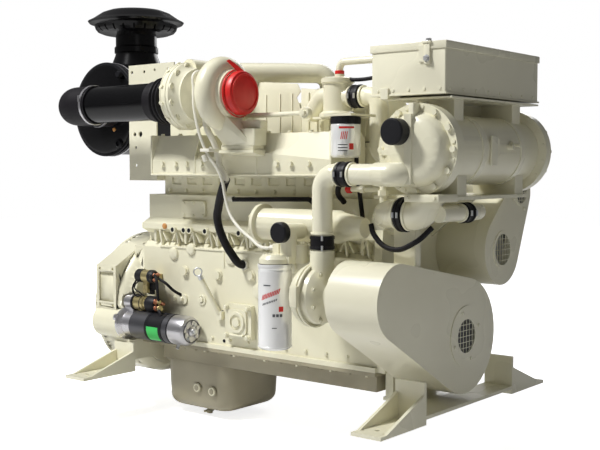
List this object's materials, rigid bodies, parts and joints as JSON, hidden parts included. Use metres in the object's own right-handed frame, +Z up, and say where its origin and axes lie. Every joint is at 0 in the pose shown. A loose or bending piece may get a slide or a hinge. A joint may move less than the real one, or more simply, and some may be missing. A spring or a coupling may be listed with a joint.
{
  "type": "marine diesel engine",
  "caption": "In-line turbocharged marine diesel engine with flywheel housing, belt guards, heat exchanger, expansion tank, side air cleaner and four feet",
  "frame": {"origin": "on the crankshaft's axis, in the rear face of the flywheel housing", "axes": "+X points from the flywheel housing to the belt end, -Y is the side of the turbocharger and the starter, +Z is up"},
  "size_m": [2.115, 1.132, 1.734],
  "materials": {
    "paint": "gloss",
    "shaded_steel": "satin",
    "bare_steel": "satin",
    "black_paint": "gloss",
    "rubber": "matte",
    "oil_line": "satin",
    "red_cap": "satin",
    "black_cap": "satin",
    "white_can": "gloss"
  },
  "bodies": {
    "engine": {"cylinder_block": "paint", "flywheel_housing": "paint", "gear_case": "paint", "oil_pan": "paint", "bolts_and_plugs": "paint", "cylinder_heads": "paint", "rocker_housings": "paint", "rocker_covers": "paint", "exhaust_manifold": "paint", "turbine_housing": "paint", "bearing_housing": "shaded_steel", "compressor_housing": "paint", "turbo_oil_lines": "oil_line", "charge_air_pipe": "paint", "aftercooler": "paint", "air_cleaner": "black_paint", "rain_cap": "black_paint", "air_elbow": "rubber", "intake_pipe": "black_paint", "hump_hose": "rubber", "cleaner_bracket": "paint", "oil_cooler": "paint", "filter_head": "paint", "thermostat_housing": "paint", "coolant_pipes": "paint", "coolant_hoses": "rubber", "water_pump": "paint", "pump_belt_guard": "paint", "guard_rings": "shaded_steel", "drive_belts": "rubber", "alternator": "bare_steel", "alternator_guard": "paint", "heat_exchanger": "paint", "exchanger_covers": "paint", "exchanger_brackets": "paint", "expansion_tank": "paint", "starter_motor": "bare_steel", "starter_solenoid": "black_paint", "block_fittings": "paint", "engine_feet": "paint", "fuel_pump": "paint"},
    "crank": {"crankshaft": "bare_steel", "flywheel": "bare_steel", "ring_gear": "bare_steel", "crank_pulley": "paint"},
    "turbo": {"turbo_rotor": "bare_steel"},
    "water_pump_shaft": {"pump_impeller": "bare_steel", "pump_pulley": "paint"},
    "alternator_shaft": {"alternator_rotor": "bare_steel"},
    "accessory_shaft": {"accessory_drive": "bare_steel"},
    "pinion": {"starter_pinion": "bare_steel", "starter_clutch": "bare_steel"},
    "dipstick": {"dipstick": "bare_steel"},
    "tank_cap": {"filler_cap": "paint"},
    "red_cap": {"exhaust_cap": "red_cap"},
    "exchanger_cap": {"exchanger_port_cap": "black_cap"},
    "filter_port_cap": {"cooler_port_cap": "black_cap"},
    "lever": {"throttle_lever": "bare_steel"},
    "oil_can": {"oil_filter": "white_can"},
    "fuel_can": {"fuel_filter": "white_can"}
  },
  "joints": [
    {"name": "crank_spin", "type": "hinge", "parent": "engine", "child": "crank", "pos_m": [0.7, 0, 0], "axis": [1, 0, 0], "continuous": true},
    {"name": "pump_spin", "type": "hinge", "parent": "engine", "child": "water_pump_shaft", "pos_m": [1.3, -0.425, 0.16], "axis": [1, 0, 0], "continuous": true},
    {"name": "accessory_spin", "type": "hinge", "parent": "engine", "child": "accessory_shaft", "pos_m": [1.5, 0.262, 0.29], "axis": [1, 0, 0], "continuous": true},
    {"name": "alternator_spin", "type": "hinge", "parent": "engine", "child": "alternator_shaft", "pos_m": [1.4, 0.406, 0.498], "axis": [1, 0, 0], "continuous": true},
    {"name": "turbo_spin", "type": "hinge", "parent": "engine", "child": "turbo", "pos_m": [0.7, -0.4, 0.87], "axis": [1, 0, 0], "continuous": true},
    {"name": "pinion_slide", "type": "slide", "parent": "engine", "child": "pinion", "axis": [-1, 0, 0], "range_m": [0, 0.022]},
    {"name": "dipstick_slide", "type": "slide", "parent": "engine", "child": "dipstick", "axis": [-0.3661, -0.2746, 0.8891], "range_m": [0, 0.3]},
    {"name": "tank_cap_lift", "type": "slide", "parent": "engine", "child": "tank_cap", "axis": [0, 0, 1], "range_m": [0, 0.08]},
    {"name": "red_cap_pull", "type": "slide", "parent": "engine", "child": "red_cap", "axis": [1, 0, 0], "range_m": [0, 0.08]},
    {"name": "exchanger_cap_pull", "type": "slide", "parent": "engine", "child": "exchanger_cap", "axis": [0, -1, 0], "range_m": [0, 0.09]},
    {"name": "filter_port_cap_pull", "type": "slide", "parent": "engine", "child": "filter_port_cap", "axis": [0, -1, 0], "range_m": [0, 0.08]},
    {"name": "throttle_turn", "type": "hinge", "parent": "engine", "child": "lever", "pos_m": [1.12, 0.352, 0.15], "axis": [0, 1, 0], "range_deg": [0, 32]},
    {"name": "oil_filter_unscrew", "type": "slide", "parent": "engine", "child": "oil_can", "axis": [0, 0, -1], "range_m": [0, 0.05]},
    {"name": "fuel_filter_unscrew", "type": "slide", "parent": "engine", "child": "fuel_can", "axis": [0, 0, -1], "range_m": [0, 0.03]}
  ],
  "couplings": [
    {"joint": "pump_spin", "follows": "crank_spin", "ratio": 1.4048},
    {"joint": "accessory_spin", "follows": "crank_spin", "ratio": 1.38},
    {"joint": "alternator_spin", "follows": "crank_spin", "ratio": 2.5629}
  ]
}
